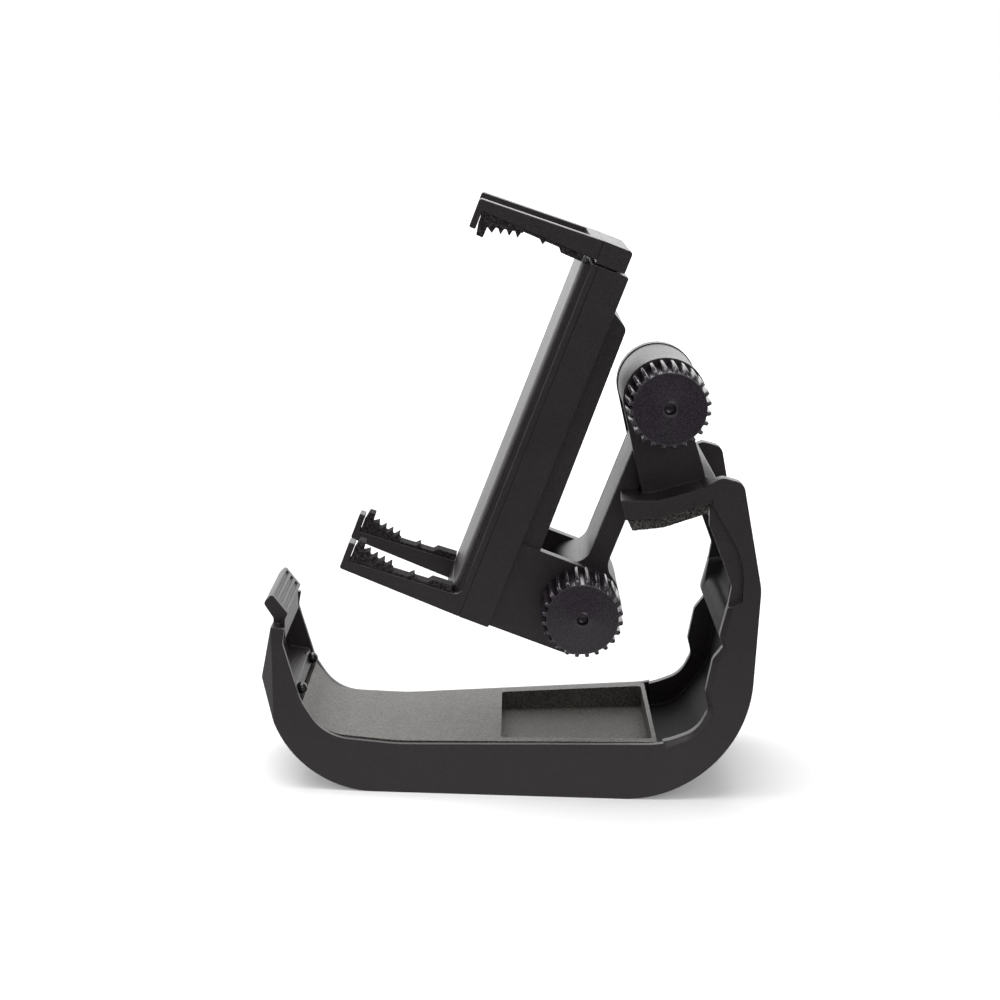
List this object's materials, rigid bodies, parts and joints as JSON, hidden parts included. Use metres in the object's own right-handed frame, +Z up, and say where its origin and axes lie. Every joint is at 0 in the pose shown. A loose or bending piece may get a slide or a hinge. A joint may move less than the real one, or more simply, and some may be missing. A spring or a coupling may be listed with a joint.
{
  "type": "gamepad phone clip",
  "caption": "Clip that hooks round a gamepad and holds a phone above it: a sprung phone holder on a link with a tilting clamp joint at each end.",
  "frame": {"origin": "middle of the flat underside of the cradle", "axes": "+X from the hook to the arm, +Y from the knobs' side to the nuts' side, +Z up"},
  "size_m": [0.0921, 0.0395, 0.1102],
  "materials": {
    "body_plastic": "fine satin texture, moulded",
    "link_plastic": "fine satin texture, moulded",
    "knob_plastic": "fine grain",
    "liner_plastic": "spark-eroded texture",
    "bumper_plastic": "polished",
    "grip_rubber": "fine grained, ribbed",
    "foam": "coarse open grain",
    "washer_fibre": "smooth",
    "steel": "bright zinc plate"
  },
  "bodies": {
    "cradle": {"cradle_frame": "body_plastic", "cradle_liner": "liner_plastic", "hook_bumpers": "bumper_plastic", "ledge_pad": "foam", "upper_nut": "steel"},
    "upper_clamp": {"upper_knob": "knob_plastic", "upper_screw": "steel"},
    "link": {"link_arm": "link_plastic", "upper_washers": "washer_fibre", "lower_washers": "washer_fibre"},
    "lower_clamp": {"lower_knob": "knob_plastic", "lower_screw": "steel"},
    "holder": {"back_shell": "body_plastic", "front_shell": "body_plastic", "shell_screws": "steel", "lower_pad_near": "grip_rubber", "lower_pad_far": "grip_rubber", "lower_nut": "steel", "pull_spring_near": "steel", "pull_spring_far": "steel"},
    "jaw": {"jaw_slider": "body_plastic", "jaw_fork": "body_plastic", "jaw_screws": "steel", "upper_pad_near": "grip_rubber", "upper_pad_far": "grip_rubber"}
  },
  "joints": [
    {"name": "upper_tilt", "type": "hinge", "parent": "cradle", "child": "link", "pos_m": [0.029, 0, 0.0744], "axis": [0, 1, 0], "range_deg": [-4, 100]},
    {"name": "lower_tilt", "type": "hinge", "parent": "link", "child": "holder", "pos_m": [0.0141, 0, 0.03599], "axis": [0, 1, 0], "range_deg": [-30, 3]},
    {"name": "jaw_slide", "type": "slide", "parent": "holder", "child": "jaw", "axis": [0.3616, 0, 0.9323], "range_m": [0, 0.0215], "stiffness_N_per_m": 350, "springref_m": -0.012},
    {"name": "upper_knob_turn", "type": "hinge", "parent": "cradle", "child": "upper_clamp", "pos_m": [0.029, 0, 0.0744], "axis": [0, 1, 0], "continuous": true},
    {"name": "lower_knob_turn", "type": "hinge", "parent": "holder", "child": "lower_clamp", "pos_m": [0.0141, 0, 0.03599], "axis": [0, 1, 0], "continuous": true}
  ]
}
